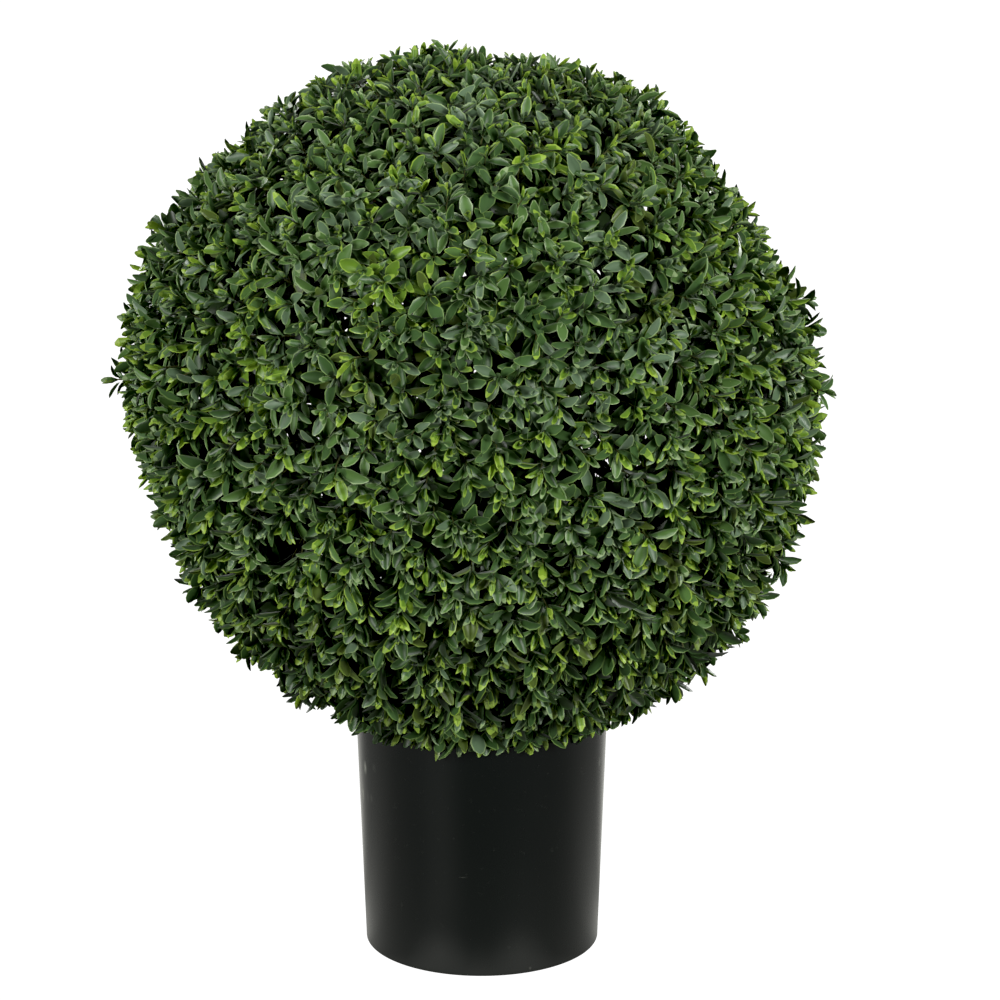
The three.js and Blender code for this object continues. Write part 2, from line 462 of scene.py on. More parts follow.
def make_pot():
    rim = POT_WALL / 2
    rim_middle = (POT_RIM_RADIUS - rim - 0.1 * MM, POT_HEIGHT - rim)
    wall_low, wall_high = 6 * MM, POT_HEIGHT - 4 * MM
    foot_middle = (pot_radius(POT_FOOT_ROUND) - POT_FOOT_ROUND, POT_FOOT_ROUND)
    inside_low = POT_FLOOR + POT_INNER_ROUND
    inner_middle = (pot_radius(inside_low) - POT_WALL - POT_INNER_ROUND, inside_low)
    profile = [(AXIS, POT_RECESS_DEPTH), (POT_RECESS_RADIUS - POT_RECESS_DEPTH, POT_RECESS_DEPTH)]
    profile += [(POT_RECESS_RADIUS, 0), (84 * MM, 0)]
    profile += arc(foot_middle, POT_FOOT_ROUND, -90, 0, 6)
    profile += [(pot_radius(h) - 0.05 * MM, h) for h in np.linspace(wall_low, wall_high, 24)]
    profile += arc(rim_middle, rim, 0, 180, 9)
    profile += [(pot_radius(h) - POT_WALL, h) for h in np.linspace(wall_high, inside_low, 10)]
    profile += arc(inner_middle, POT_INNER_ROUND, 0, -90, 5)
    profile += [(AXIS, POT_FLOOR)]
    points, quads = turned(profile, 192)
    pot = weld(make_mesh("pot_shell", points, quads, [black_plastic()]), WELD_REACH)
    settle(pot, "pot")


def make_filling():
    """The cast plug: its top rises toward the stem's socket and is a little rough."""
    top = filling_high.z - 0.6 * MM
    edge_top = top - 3 * MM
    low = filling_low.z
    socket = STEM_FOOT_RADIUS + 0.5 * MM

    def side(height):
        return pot_radius(height) - POT_WALL - FILLING_GAP

    def swell(radius):
        return (top - edge_top) * (1 - (radius - socket) / (side(edge_top) - socket)) ** 2

    chamfer_top = low + FILLING_CHAMFER
    profile = [(AXIS, low), (side(low) - FILLING_CHAMFER, low), (side(chamfer_top), chamfer_top)]
    profile += [(side(h), h) for h in np.linspace(SOCKET_FLOOR, edge_top, 8)]
    profile += [(r, edge_top + swell(r)) for r in np.linspace(side(edge_top) - 1 * MM, socket, 26)]
    profile += [(socket, SOCKET_FLOOR), (AXIS, SOCKET_FLOOR)]
    points, quads = turned(profile, 120)
    for point in points:
        if point[2] > edge_top - 1 * MM and math.hypot(point[0], point[1]) > socket + 1 * MM:
            place = Vector(point)
            bumps = 0.5 * MM * noise.noise(place * 60) + 0.25 * MM * noise.noise(place * 240)
            point[2] += bumps - 0.3 * MM
    filling = weld(make_mesh("cast_plug", points, quads, [cast_filling()]), WELD_REACH)
    settle(filling, "pot_filling")


def make_stem():
    """The turned post: it tapers from the filling up, and furrows run along it."""
    low, high = stem_low.z, stem_high.z
    taper_start = filling_high.z
    furrow_depth = 0.9 * MM

    def girth(height):
        share = max(0.0, (height - taper_start) / (high - taper_start))
        return STEM_FOOT_RADIUS + (STEM_TOP_RADIUS - STEM_FOOT_RADIUS) * share

    profile = [(AXIS, low), (girth(low) - STEM_BEVEL, low)]
    profile += [(girth(h), h) for h in np.linspace(low + STEM_BEVEL, high - STEM_BEVEL, 90)]
    profile += [(girth(high) - STEM_BEVEL, high), (AXIS, high)]
    points, quads = turned(profile, 48)
    for point in points:
        around = Vector((point[0], point[1], point[2] * 0.12))
        furrow = abs(noise.noise(around * 150)) + 0.4 * abs(noise.noise(around * 420))
        point[:2] *= 1 - min(1.0, furrow) * furrow_depth / STEM_TOP_RADIUS
    stem = weld(make_mesh("stem_post", points, quads, [brown_post()]), WELD_REACH)
    settle(stem, "stem")


# ---- directions on the ball


def place_on_ball(turn, front):
    turn, front = math.radians(turn), math.radians(front)
    side = math.cos(front)
    return np.array([side * math.cos(turn), -math.sin(front), side * math.sin(turn)])


def unit(vectors):
    return vectors / np.linalg.norm(vectors, axis=-1, keepdims=True)


def clipped_reach(directions):
    """How far the clipped foliage reaches in each direction from the ball's centre."""
    reach = np.full(len(directions), BALL_REACH)
    for turn, front, swell, spread in SHEAR_MARKS:
        away = np.degrees(np.arccos(np.clip(directions @ place_on_ball(turn, front), -1, 1)))
        reach += swell * MM * np.exp(-0.5 * (away / spread) ** 2)
    return reach


def spread_directions(count, drift):
    """Directions laid evenly along a spiral over the ball, each strayed by its share of a step."""
    index = np.arange(count)
    height = 1 - (2 * index + 1) / count
    ring = np.sqrt(1 - height**2)
    turn = index * math.pi * (3 - math.sqrt(5))
    even = np.stack([ring * np.cos(turn), ring * np.sin(turn), height], axis=-1)
    step = math.sqrt(4 * math.pi / count)
    return unit(even + chance.normal(0, drift * step, even.shape))


def two_across(directions):
    """Two unit vectors square to each direction and to each other."""
    guide = np.where(np.abs(directions[..., 2:]) < 0.9, [0.0, 0.0, 1.0], [1.0, 0.0, 0.0])
    first = unit(np.cross(directions, guide))
    return first, np.cross(directions, first)


# ---- core


def make_core():
    """The hollow moulded core: a wall of six-sided cells with a round hole in each."""
    ball = bmesh.new()
    bmesh.ops.create_icosphere(ball, subdivisions=4, radius=1.0)
    points, quads = [], []
    for vertex in ball.verts:
        middle = np.array(vertex.co)
        from_stem = BALL_CENTRE + middle * CORE_RADIUS
        if middle[2] < 0 and math.hypot(from_stem[0], from_stem[1]) < COLLAR_REACH - COLLAR_LAP:
            continue
        across, up = two_across(middle)
        corners = [unit(np.array(f.calc_center_median())) for f in vertex.link_faces]
        turns = [math.atan2(c @ up, c @ across) for c in corners]
        corners = [corners[i] for i in np.argsort(turns)]
        outline = []
        for corner, after in zip(corners, corners[1:] + corners[:1]):
            outline += [corner, unit(corner + after)]
        size = CORE_HOLE * np.mean([np.linalg.norm(c - middle) for c in corners])
        spokes = [unit(edge - middle * (edge @ middle)) for edge in outline]
        hole = [unit(middle + size * spoke) for spoke in spokes]
        sides = len(outline)
        quads.append(ring_quads(len(points) + np.arange(2)[:, None] * sides, sides))
        points += [p * CORE_RADIUS for p in outline]
        points += [p * CORE_RADIUS for p in hole]
        points += [p * (CORE_RADIUS - CORE_WALL) for p in hole]
    ball.free()
    points, quads = np.array(points) + BALL_CENTRE, np.concatenate(quads)
    core = weld(make_mesh("core_shell", points, quads, [core_plastic()], smooth=False), 5 * WELD_REACH)
    settle(core, "foliage_ball")


def make_collar():
    """The solid collar and sleeve where the stem goes into the core."""
    inner = STEM_FOOT_RADIUS + 0.6 * MM
    sleeve = inner + 2.5 * MM
    profile = [(COLLAR_REACH, 0), (sleeve + 1 * MM, 0), (sleeve, 1 * MM)]
    profile += [(sleeve, SLEEVE_LENGTH), (inner, SLEEVE_LENGTH)]
    profile += [(inner, -CORE_WALL), (COLLAR_REACH, -CORE_WALL), (COLLAR_REACH, 0)]
    points, quads = turned(profile, 48)
    across = np.hypot(points[:, 0] - BALL_CENTRE[0], points[:, 1] - BALL_CENTRE[1])
    points[:, 2] += BALL_CENTRE[2] - np.sqrt((CORE_RADIUS - 0.5 * MM) ** 2 - across**2)
    collar = weld(make_mesh("core_collar", points, quads, [core_plastic()], smooth=False), WELD_REACH)
    settle(collar, "foliage_ball")


# ---- stalks and twigs


def tubes(paths, girths, sides):
    """Points and quads of tapering tubes along many paths (N, K, 3), open at both ends."""
    count, steps, _ = paths.shape
    along = unit(np.gradient(paths, axis=1))
    across, up = two_across(along[:, 0])
    across = np.repeat(across[:, None], steps, axis=1)
    across = unit(across - along * np.sum(across * along, axis=-1, keepdims=True))
    up = np.cross(along, across)
    turns = np.linspace(0, 2 * math.pi, sides, endpoint=False)
    ring = across[:, :, None] * np.cos(turns)[:, None] + up[:, :, None] * np.sin(turns)[:, None]
    points = paths[:, :, None] + ring * girths[:, :, None, None]
    starts = (np.arange(count)[:, None, None] * steps + np.arange(steps - 1)[None, :, None]) * sides
    return points.reshape(-1, 3), ring_quads(starts, sides)


def bent_paths(start, leave, arrive, end, steps):
    """Smooth paths from start to end that set out along leave and come in along arrive."""
    span = np.linalg.norm(end - start, axis=-1, keepdims=True)
    first = start + leave * span * 0.4
    second = end - arrive * span * 0.4
    share = np.linspace(0, 1, steps)[None, :, None]
    rest = 1 - share
    return (
        rest**3 * start[:, None]
        + 3 * rest**2 * share * first[:, None]
        + 3 * rest * share**2 * second[:, None]
        + share**3 * end[:, None]
    )


def back_from_tip(paths, distance):
    """The point at a distance back from each path's tip, and the path's direction there."""
    legs = np.diff(paths, axis=1)
    lengths = np.linalg.norm(legs, axis=-1)
    left = np.array(distance, dtype=float)
    point = paths[:, -1].copy()
    heading = unit(legs[:, -1])
    done = np.zeros(len(paths), dtype=bool)
    for leg in range(legs.shape[1] - 1, -1, -1):
        here = ~done & (left <= lengths[:, leg])
        point[here] = paths[here, leg + 1] - unit(legs[here, leg]) * left[here, None]
        heading[here] = unit(legs[here, leg])
        done |= here
        left = np.where(done, left, left - lengths[:, leg])
    point[~done] = paths[~done, 0]
    heading[~done] = unit(legs[~done, 0])
    return point, heading


# ---- leaves


# A leaf is one unit long and wide. These are its stalk's foot and neck, and its blunt tip, across,
# along and up, with the faces that join them to the blade's first row and to its last one.
LEAF_FOOT = [(-0.05, 0, 0), (0.05, 0, 0), (-0.095, 0.13, 0.04), (0, 0.13, 0), (0.095, 0.13, 0.04)]
LEAF_TIP = [(-0.14, 0.98, 0.3), (0, 1, 0.15), (0.14, 0.98, 0.3)]
FOOT_FACES = [(0, 1, 3), (0, 3, 2), (1, 4, 3), (2, 6, 5), (2, 3, 6),
              (3, 7, 6), (3, 8, 7), (3, 4, 8), (4, 9, 8)]
# The faces at the stalk and neck mostly take the foot's darker tone, painted shade.
FOOT_ZONES = [SHADED_FOOT, SHADED_FOOT, SHADED_FOOT, EDGE, SHADED_FOOT, SHADED_FOOT, SHADED_FOOT, SHADED_FOOT, EDGE]
TIP_FACES = [(0, 1, 5), (1, 2, 6), (1, 6, 5), (2, 3, 6), (3, 7, 6), (3, 4, 7)]
# A blade's outline: how far along it, and how wide it is there.
OLD_LEAF_ROWS = [(0.34, 0.74), (0.59, 1.0), (0.84, 0.70)]
LOWER_LEAF_ROWS = [(0.40, 0.86), (0.76, 0.88)]
YOUNG_LEAF_ROWS = [(0.40, 0.88), (0.77, 0.84)]

# How unlike each other the leaves are: their turn and twist in radians, their heading, and the
# rest as shares.
UNLIKE = {"turn": 0.18, "twist": 0.3, "opening": 0.14, "heading": 0.07, "length": 0.13,
          "width": 0.10, "taper": 0.2, "rise": 0.35, "bend": 0.35}
# The share of a spray's leaves that have its favourite look.
FAVOURITE_SHARE = 0.55


# A leaf one unit long: points (across, along, rise), triangles, and the zone of each triangle.
LeafForm = namedtuple("LeafForm", "points triangles zones")


def full_leaf(rows, inner, tip_zone):
    """Stalk, folded blade with a blunt tip, and a raised edge.

    The edge starts at the inner share of the half width. The middle of the tip is blade or edge.
    """
    points = list(LEAF_FOOT)
    triangles, zones = list(FOOT_FACES), list(FOOT_ZONES)
    for row, (along, wide) in enumerate(rows, 1):
        before = len(points)
        for share in (-1.0, -inner, 0.0, inner, 1.0):
            points.append((share * wide / 2, along, abs(share) ** 1.5 * (0.4 + 0.6 * wide)))
        if row < len(rows):
            for k in range(before, before + 4):
                triangles += [(k, k + 1, k + 6), (k, k + 6, k + 5)]
            zones += [EDGE, EDGE, BLADE, BLADE, BLADE, BLADE, EDGE, EDGE]
    points += LEAF_TIP
    triangles += [(a + before, b + before, c + before) for a, b, c in TIP_FACES]
    zones += [EDGE, tip_zone, EDGE, tip_zone, EDGE, EDGE]
    return LeafForm(np.array(points, dtype=float), np.array(triangles), np.array(zones))


def plain_leaf():
    """A folded blade of few faces, for leaves deep in the ball."""
    points = [(0, 0, 0), (-0.40, 0.42, 0.7), (0, 0.42, 0), (0.40, 0.42, 0.7)]
    points += [(-0.41, 0.78, 0.7), (0, 0.78, 0), (0.41, 0.78, 0.7), (0, 1, 0.1)]
    triangles = [(0, 2, 1), (0, 3, 2), (1, 2, 5), (1, 5, 4), (2, 3, 6), (2, 6, 5), (4, 5, 7), (5, 6, 7)]
    # The two faces at the foot take the darker foot tone, painted shade.
    zones = [SHADED_FOOT, SHADED_FOOT, BLADE, BLADE, BLADE, BLADE, BLADE, BLADE]
    return LeafForm(np.array(points, dtype=float), np.array(triangles), np.array(zones))


def leaf_points(form, table):
    """Every leaf's points: the form widened, bent along its length and set in place."""
    across = np.cross(table["along"], table["up"])
    length = table["length"][:, None]
    fullness = 1 + table["taper"][:, None] * (form.points[None, :, 1] - 0.5)
    sideways = form.points[None, :, 0] * table["width"][:, None] * fullness
    curl = table["bend"][:, None] * form.points[None, :, 1]
    bend = np.where(np.abs(table["bend"]) < 1e-3, 1e-3, table["bend"])[:, None]
    forward = np.sin(curl) / bend
    lift = (1 - np.cos(curl)) / bend + form.points[None, :, 2] * table["rise"][:, None] * np.cos(curl)
    local = np.stack([sideways, forward, lift], axis=-1) * length[..., None]
    axes = np.stack([across, table["along"], table["up"]], axis=1)
    return table["base"][:, None] + np.einsum("npk,nkx->npx", local, axes)


def pull_in(points, allowance):
    """Moves each leaf inward until none of it stands beyond the clipped surface and its allowance."""
    from_centre = points - BALL_CENTRE
    distance = np.linalg.norm(from_centre, axis=-1)
    far = np.argmax(distance, axis=1)
    rows = np.arange(len(points))
    direction = unit(from_centre[rows, far])
    excess = distance[rows, far] - clipped_reach(direction) - allowance
    return points - direction[:, None] * np.maximum(excess, 0)[:, None, None]


def cuts_pot(points):
    """Which leaves would cut the pot's wall."""
    room = 1.2 * MM
    radius = np.hypot(points[..., 0], points[..., 1])
    low = points[..., 2] < POT_HEIGHT + 0.5 * MM
    reaches_in = radius.min(axis=1) < POT_RIM_RADIUS + room
    reaches_out = radius.max(axis=1) > POT_RIM_RADIUS - POT_WALL - room
    return np.any(low, axis=1) & reaches_in & reaches_out


def clear_the_rim(points):
    """Moves leaves that would cut the wall: out where they hang outside it, else up over the rim."""
    moved = points.copy()
    radius = np.hypot(points[..., 0], points[..., 1])
    shift = POT_RIM_RADIUS + 1.5 * MM - radius.min(axis=1)
    hangs = cuts_pot(points) & (radius.mean(axis=1) > POT_RIM_RADIUS) & (shift < MOST_RIM_SHIFT)
    moved[..., :2] += (unit(points.mean(axis=1)[:, :2]) * np.where(hangs, shift, 0)[:, None])[:, None]
    lift = POT_HEIGHT + 0.8 * MM - moved[..., 2].min(axis=1)
    lies = cuts_pot(moved) & (lift < MOST_RIM_LIFT)
    moved[..., 2] += np.where(lies, lift, 0)[:, None]
    return moved


def leaf_pieces(kind, batches, form, parts, allowance, finishes):
    """Joins the leaves of one kind into pieces, each a share of the way round the ball."""
    table = {part: np.concatenate([batch[part] for batch in batches]) for part in batches[0]}
    points = clear_the_rim(pull_in(leaf_points(form, table), allowance[table["spray"]]))
    keep = ~cuts_pot(points)
    points = points[keep]
    tones = list(LEAF_TONES)
    look_slots = np.array([[tones.index(tone) for tone in look] for look in LEAF_LOOKS.values()])
    look = table["look"][keep]
    middle = points.mean(axis=1) - BALL_CENTRE
    turn = np.arctan2(middle[:, 1], middle[:, 0])
    order = np.argsort(turn, kind="stable")
    for number, share in enumerate(np.array_split(order, parts)):
        corners = form.triangles[None] + (np.arange(len(share)) * len(form.points))[:, None, None]
        slots = look_slots[look[share]][:, form.zones]
        piece_name = f"{kind}_leaves_{number + 1}" if parts > 1 else f"{kind}_leaves"
        corners, chosen = corners.reshape(-1, 3), points[share].reshape(-1, 3)
        piece = make_mesh(piece_name, chosen, corners, finishes, slots.ravel())
        settle(piece, "foliage_ball")


def deal(weights, count):
    """Deals out looks by weight, as their places in LEAF_LOOKS."""
    shares = np.array([weights.get(name, 0.0) for name in LEAF_LOOKS])
    return chance.choice(len(shares), size=count, p=shares / shares.sum())


def dealer(tables, habit, favourite=None):
    """A function that deals a look to a leaf of each spray, from the table of the spray's habit."""

    def pick():
        count = len(habit)
        looks = deal(tables[0], count)
        for number, weights in enumerate(tables[1:], 1):
            looks = np.where(habit == number, deal(weights, count), looks)
        if favourite is not None:
            looks = np.where(chance.random(count) < FAVOURITE_SHARE, favourite, looks)
        return looks

    return pick


# How a pair of leaves sits on a twig: how far back in millimetres, its turn and opening in degrees,
# its size, its fold and its bend.
Whorl = namedtuple("Whorl", "back turn opening size rise bend")


def add_whorl(batches, paths, spray, roll, droop, whorl, look, share):
    """Adds a pair of leaves to a share of the paths, set as the Whorl says."""
    kept = np.flatnonzero(chance.random(len(paths)) < share)
    count = len(kept)
    growth = 1 + LOW_LEAF_GROWTH * (droop[kept] - DROOP)
    point, heading = back_from_tip(paths[kept], np.full(count, whorl.back * MM))
    across, up = two_across(heading)

    def stray(name, usual=0.0):
        return chance.normal(usual, UNLIKE[name], count)

    for k in range(2):
        turn = roll[kept] + math.radians(whorl.turn) + math.pi * k + stray("turn")
        angle = math.radians(whorl.opening) * (1 + stray("opening"))
        sideways = across * np.cos(turn)[:, None] + up * np.sin(turn)[:, None]
        along = heading * np.cos(angle)[:, None] + sideways * np.sin(angle)[:, None]
        along = along + chance.normal(0, UNLIKE["heading"], along.shape)
        along[:, 2] -= droop[kept]
        along = unit(along)
        face = heading - along * np.sum(heading * along, axis=-1, keepdims=True)
        face = unit(face + 0.02 * across)
        side = np.cross(along, face)
        twist = stray("twist")[:, None]
        face = unit(face * np.cos(twist) + side * np.sin(twist))
        batches.append(dict(
            base=point + along * 0.4 * MM,
            along=along,
            up=face,
            length=LEAF_LENGTH * whorl.size * growth * (1 + stray("length")),
            width=LEAF_WIDTH * (1 + stray("width")),
            taper=stray("taper", -0.03),
            rise=whorl.rise * (1 + stray("rise")),
            bend=stray("bend", whorl.bend),
            look=look()[kept],
            spray=spray[kept],
        ))


# ---- sprigs

# How far sprigs and twigs stray from an even spread, as shares of the step between them.
SPRIG_STRAY, TWIG_STRAY = 0.22, 0.24
# How much they lean and sag, and how much straighter the proud twigs are.
SPRIG_LEAN, TWIG_LEAN, TWIG_SAG, PROUD_LEAN = 0.10, 0.24, 0.38, 0.25
# How far twigs end short of the clipped surface, and how far past it their leaves may reach, in
# millimetres: the usual amount and the most. A twig ends well inside the tips of its leaves.
TWIG_DEPTH, TWIG_SPARE = (6, 16), (6, 13)
LEAVES_PAST_TWIG = 12 * MM
# What the underside adds to the depth, the sag and the droop.
UNDER_DEPTH, UNDER_SAG, UNDER_DROOP = 0.35, 0.25, 0.2
# Side shoots: the share of twigs with one, how far back from the tip it leaves, and its length.
SHOOT_SHARE = 0.5
SHOOT_BACK, SHOOT_LENGTH = (14, 26), (9, 16)
# The share of sprigs that are fresh, and of twigs that don't keep to their sprig's habit.
FRESH_SHARE, STRANGER_SHARE = 0.42, 0.22
# Where the underside's habit of colour begins, darker tones as painted shade mixed with olive and
# bright-edged ones, from 1 at the ball's top to -1 at its foot, how soon it sets in and the share of
# twigs that take it; then where the favourite is olive, and where it is the shade tone, painted shade.
UNDER_START, UNDER_BLEND, UNDER_SHARE = -0.25, 0.35, 0.95
OLIVE_START, OLIVE_SHARE = -0.35, 0.35
SHADE_START = -0.65

# The pairs of leaves from the tip down: their kind, their table of looks, how they sit, and the
# share of twigs that have them.
TWIG_PLAN = [
    ("young", "young", Whorl(0, 0, 14, 0.46, 0.16, 0.35), 1),
    ("young", "young", Whorl(2, 90, 34, 0.74, 0.14, 0.1), 1),
    ("mature", "old", Whorl(4.5, 6, 50, 0.97, 0.12, -0.25), 1),
    ("mature", "old", Whorl(8, 90, 60, 1.05, 0.11, -0.3), 1),
    ("lower", "old", Whorl(14, 40, 68, 1.03, 0.11, -0.3), 1),
    ("inner", "inner", Whorl(21, 120, 68, 1.0, 0.12, -0.2), 1),
    ("inner", "inner", Whorl(28, 17, 72, 1.0, 0.12, -0.2), 1),
    ("inner", "inmost", Whorl(36, 69, 76, 1.0, 0.12, -0.2), INMOST_SHARE),
]
SHOOT_PLAN = [
    ("young", "young", Whorl(0, 0, 24, 0.64, 0.12, -0.05), 1),
    ("mature", "old", Whorl(3, 90, 48, 0.94, 0.11, -0.05), 1),
    ("inner", "inner", Whorl(8, 0, 62, 1.0, 0.15, -0.05), 1),
]
# Each kind's form, and how many pieces it is split into.
LEAF_KINDS = {
    "mature": (full_leaf(OLD_LEAF_ROWS, 0.84, BLADE), 2),
    "lower": (full_leaf(LOWER_LEAF_ROWS, 0.84, BLADE), 1),
    "young": (full_leaf(YOUNG_LEAF_ROWS, 0.8, EDGE), 2),
    "inner": (plain_leaf(), 1),
}


def rim_twig_tips():
    """Where the twigs that hang over the pot's rim end, and how much lower than usual each is."""
    step = 2 * math.pi / RIM_TWIG_COUNT
    turns = (np.arange(RIM_TWIG_COUNT) + chance.uniform(-0.4, 0.4, RIM_TWIG_COUNT)) * step
    out = chance.uniform(*RIM_TWIG_OUT, RIM_TWIG_COUNT) * MM
    hang = np.zeros(RIM_TWIG_COUNT)
    for turn, spread in RIM_HANGS:
        away = (np.degrees(turns) - turn + 180) % 360 - 180
        hang += np.exp(-((away / spread) ** 2))
    drop = hang * RIM_HANG_DROP
    height = chance.uniform(*RIM_TWIG_HEIGHT, RIM_TWIG_COUNT) * MM - drop
    return np.stack([out * np.cos(turns), out * np.sin(turns), height], axis=-1), drop


def uneven(usual, most):
    """An amount for every twig, in millimetres: small for most twigs and never past the most."""
    return np.minimum(np.abs(chance.normal(0, 1, TWIG_COUNT)) * usual, most)


def stand_sprigs():
    """The way each sprig goes from the ball's centre, where it stands on the core, and its lean."""
    way = spread_directions(SPRIG_COUNT, SPRIG_STRAY)
    foot = BALL_CENTRE + way * (CORE_RADIUS - 1 * MM)
    return way, foot, unit(way + chance.normal(0, SPRIG_LEAN, way.shape))


def grow_twigs(sprig_way, sprig_fork, sprig_lean):
    """Every twig starts from the fork of the nearest sprig and ends at the clipped outline.

    Gives the paths, their ways and sprigs, and the droop and the spare reach of their leaves.
    """
    way = spread_directions(TWIG_COUNT - RIM_TWIG_COUNT, TWIG_STRAY)
    rim_tips, rim_drop = rim_twig_tips()
    way = np.concatenate([way, unit(rim_tips - BALL_CENTRE)])
    reach = clipped_reach(way)
    hang = np.clip(-way[:, 2] * 1.6, 0, 1)
    depth = uneven(*TWIG_DEPTH) * (1 + UNDER_DEPTH * hang) * MM
    allowance = uneven(*TWIG_SPARE) * MM
    depth[-RIM_TWIG_COUNT:] = 0
    allowance[-RIM_TWIG_COUNT:] = chance.uniform(*RIM_TWIG_SPARE, RIM_TWIG_COUNT) * MM + rim_drop
    proud = []
    for turn, front, far in PROUD_TWIGS:
        chosen = np.argmax(way @ place_on_ball(turn, front))
        proud.append(chosen)
        allowance[chosen] = far * MM - reach[chosen]
        depth[chosen] = 1 * MM - allowance[chosen]
    tip = BALL_CENTRE + way * (reach - LEAVES_PAST_TWIG - depth)[:, None]
    owner = np.argmax(way @ sprig_way.T, axis=1)
    lean = chance.normal(0, TWIG_LEAN, way.shape)
    lean[:, 2] -= TWIG_SAG + UNDER_SAG * hang
    lean[proud] *= PROUD_LEAN
    paths = bent_paths(sprig_fork[owner], sprig_lean[owner], unit(way + lean), tip, TWIG_STEPS)
    return paths, way, owner, DROOP + UNDER_DROOP * hang, allowance


def grow_shoots(twigs):
    """Short side shoots leave some twigs part of the way down. Gives their twigs and paths."""
    parent = np.flatnonzero(chance.random(TWIG_COUNT) < SHOOT_SHARE)
    start, heading = back_from_tip(twigs[parent], chance.uniform(*SHOOT_BACK, len(parent)) * MM)
    across, up = two_across(heading)
    turn = chance.uniform(0, 2 * math.pi, len(parent))
    sideways = across * np.cos(turn)[:, None] + up * np.sin(turn)[:, None]
    way = unit(heading + sideways * 0.95)
    length = chance.uniform(*SHOOT_LENGTH, len(parent))[:, None] * MM
    leave = unit(heading + sideways * 1.4)
    return parent, bent_paths(start, leave, way, start + way * length, SHOOT_STEPS)


def deal_habits(way, owner):
    """The habit of colour and favourite look of each twig, mostly its sprig's; darker under the ball as
    painted shade.
    """
    sprig_fresh = chance.random(SPRIG_COUNT) < FRESH_SHARE
    fresh = sprig_fresh[owner] ^ (chance.random(TWIG_COUNT) < STRANGER_SHARE)
    favourite = dealer([OLD_DULL, OLD_FRESH], sprig_fresh)()[owner]
    low_down = (way[:, 2] < OLIVE_START) & (chance.random(TWIG_COUNT) < OLIVE_SHARE)
    set_in = np.clip((UNDER_START - way[:, 2]) / UNDER_BLEND, 0, 1)
    under = chance.random(TWIG_COUNT) < UNDER_SHARE * set_in
    # Twigs under the ball favour the deep tone, and the lowest dull ones the shade tone: painted shade.
    lowest = under & ~fresh & (way[:, 2] < SHADE_START)
    for chosen, look in ((low_down, "olive"), (under, "deep"), (lowest, "shade")):
        favourite = np.where(chosen, list(LEAF_LOOKS).index(look), favourite)
    return np.where(under, UNDERNEATH, np.where(fresh, FRESH, DULL)), favourite


def dress(kinds, paths, spray, droop, habit, favourite, plan):
    """Sets a plan's pairs of leaves round paths, and gathers them by kind."""
    looks = {
        "young": dealer([YOUNG_DULL, YOUNG_FRESH, YOUNG_UNDER], habit),
        "old": dealer([OLD_DULL, OLD_FRESH, OLD_UNDER], habit, favourite),
        "inner": dealer([INNER], habit),
        "inmost": dealer([INMOST], habit),
    }
    roll = chance.uniform(0, 2 * math.pi, len(paths))
    for kind, look, whorl, share in plan:
        add_whorl(kinds[kind], paths, spray, roll, droop, whorl, looks[look], share)


def make_wood(stalks, twigs, shoots):
    """The stalks, twigs and side shoots as tapering tubes, with their girths in millimetres."""
    olive_bark = twig_bark("olive_twig", colour(58, 66, 30), colour(96, 96, 48))
    brown_bark = twig_bark("brown_stalk", colour(50, 40, 24), colour(84, 70, 40))
    for name, paths, girth, sides, bark in (
        ("sprig_stalks", stalks, np.array([3.4, 2.4, 1.7]), 6, brown_bark),
        ("twigs", twigs, np.linspace(1.3, 0.55, TWIG_STEPS), 3, olive_bark),
        ("side_shoots", shoots, np.linspace(0.8, 0.45, SHOOT_STEPS), 3, olive_bark),
    ):
        girths = girth[None] * MM * np.ones((len(paths), 1))
        points, quads = tubes(paths, girths, sides)
        settle(make_mesh(name, points, quads, [bark]), "foliage_ball")


def grow_ball():
    """Sprigs on the core, then twigs, side shoots, leaves and wood, from one seeded chance."""
    finishes = [leaf_tone(name, tone) for name, tone in LEAF_TONES.items()]
    sprig_way, sprig_foot, sprig_lean = stand_sprigs()
    sprig_fork = sprig_foot + sprig_lean * STALK_LENGTH
    twigs, twig_way, owner, droop, allowance = grow_twigs(sprig_way, sprig_fork, sprig_lean)
    parent, shoots = grow_shoots(twigs)
    habit, favourite = deal_habits(twig_way, owner)
    kinds = {kind: [] for kind in LEAF_KINDS}
    dress(kinds, twigs, np.arange(TWIG_COUNT), droop, habit, favourite, TWIG_PLAN)
    dress(kinds, shoots, parent, droop[parent], habit[parent], favourite[parent], SHOOT_PLAN)
    for kind, (form, parts) in LEAF_KINDS.items():
        leaf_pieces(kind, kinds[kind], form, parts, allowance, finishes)
    stalks = np.stack([sprig_foot, (sprig_foot + sprig_fork) / 2, sprig_fork], axis=1)
    make_wood(stalks, twigs, shoots)


# ---- studio

# How bright the studio's walls are, from the lens's side (0) round to behind the object (1).
SURROUNDING_LIGHT = [
    (0.0, 0.06), (0.33, 0.10), (0.5, 0.24), (0.75, 0.27), (0.91, 0.34), (1.0, 0.38),
]
# How that light dims from the level of the object (0) to straight above it (1).
OVERHEAD_LIGHT = [(0.1, 1.0), (0.8, 0.5)]
# How brightly the floor glows, from in front of the pot (0) round to behind it (1).
FLOOR_GLOW = [
    (0.0, 0.17), (0.25, 0.21), (0.40, 0.26), (0.50, 0.35),
    (0.65, 0.38), (0.78, 0.29), (0.86, 0.54), (0.94, 1.45),
]
# How the glow fades with distance from the pot's axis, in metres.
FLOOR_FADE = [(0.12, 1.6), (0.2, 1.2), (0.35, 0.93), (0.65, 0.68)]
# The share of the glow that lights the leaves; the rest shows only as shine.
FLOOR_ON_LEAVES = 0.45
